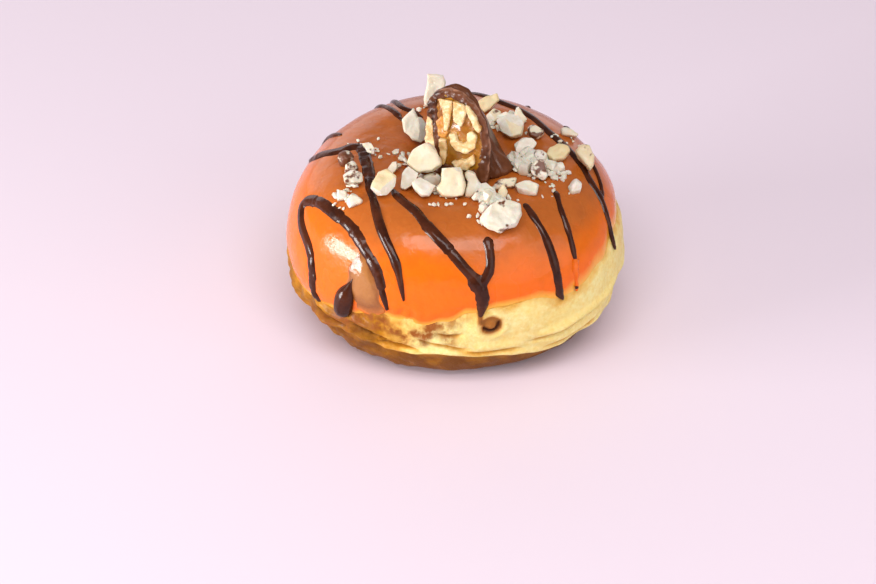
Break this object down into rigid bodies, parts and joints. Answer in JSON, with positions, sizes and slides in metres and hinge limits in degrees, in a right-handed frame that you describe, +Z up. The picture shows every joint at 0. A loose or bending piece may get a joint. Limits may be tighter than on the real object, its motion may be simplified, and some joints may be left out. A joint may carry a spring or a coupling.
{
  "type": "ring doughnut",
  "caption": "Plump iced ring doughnut with a small hole, chocolate drizzle, chopped nuts and a cut piece of peanut and caramel bar standing on top.",
  "frame": {"origin": "middle of the part's plan box, on the plane it rests on", "axes": "+Z up through the hole, +X to the right and -Y towards the viewer who faces the bar's cut face"},
  "size_m": [0.094, 0.0902, 0.0748],
  "materials": {
    "dough": "fried dough crust, pale cream band at the waist and golden brown underneath, dull and slightly creased",
    "caramel_icing": "set caramel icing, orange to brown, glossy and slightly see-through where it thins",
    "dark_chocolate": "dark chocolate drizzle, glossy",
    "nut": "chopped blanched nuts, cream, dull with waxy cut faces",
    "milk_chocolate": "milk chocolate coating, satin",
    "caramel": "soft amber caramel, cut, glossy and see-through",
    "nougat": "whipped nougat, cream to peach, porous",
    "peanut": "roasted peanuts, cut through, pale tan"
  },
  "bodies": {
    "root": {"dough": "dough", "caramel_icing": "caramel_icing", "drizzle_left_loop": "dark_chocolate", "drizzle_bead": "dark_chocolate", "drizzle_shoulder_left": "dark_chocolate", "drizzle_front_v": "dark_chocolate", "drizzle_front_right": "dark_chocolate", "drizzle_right": "dark_chocolate", "drizzle_far_right": "dark_chocolate", "drizzle_back_left_a": "dark_chocolate", "drizzle_back_left_b": "dark_chocolate", "drizzle_back_a": "dark_chocolate", "drizzle_back_b": "dark_chocolate", "drizzle_back_c": "dark_chocolate", "nut_01": "nut", "nut_02": "nut", "nut_03": "nut", "nut_04": "nut", "nut_05": "nut", "nut_06": "nut", "nut_07": "nut", "nut_08": "nut", "nut_09": "nut", "nut_10": "nut", "nut_11": "nut", "nut_12": "nut", "nut_13": "nut", "nut_14": "nut", "nut_15": "nut", "nut_16": "nut", "nut_17": "nut", "nut_18": "nut", "nut_19": "nut", "nut_20": "nut", "nut_21": "nut", "nut_22": "nut", "nut_23": "nut", "nut_24": "nut", "nut_25": "nut", "nut_26": "nut", "nut_27": "nut", "nut_28": "nut", "nut_29": "nut", "nut_30": "nut", "nut_31": "nut", "nut_32": "nut", "nut_33": "nut", "nut_34": "nut", "nut_35": "nut", "nut_36": "nut", "bar_chocolate_coat": "milk_chocolate", "bar_nougat": "nougat", "bar_peanut_1": "peanut", "bar_peanut_2": "peanut", "bar_peanut_3": "peanut", "bar_peanut_4": "peanut", "bar_peanut_5": "peanut", "bar_peanut_6": "peanut", "bar_caramel": "caramel"}
  },
  "joints": []
}
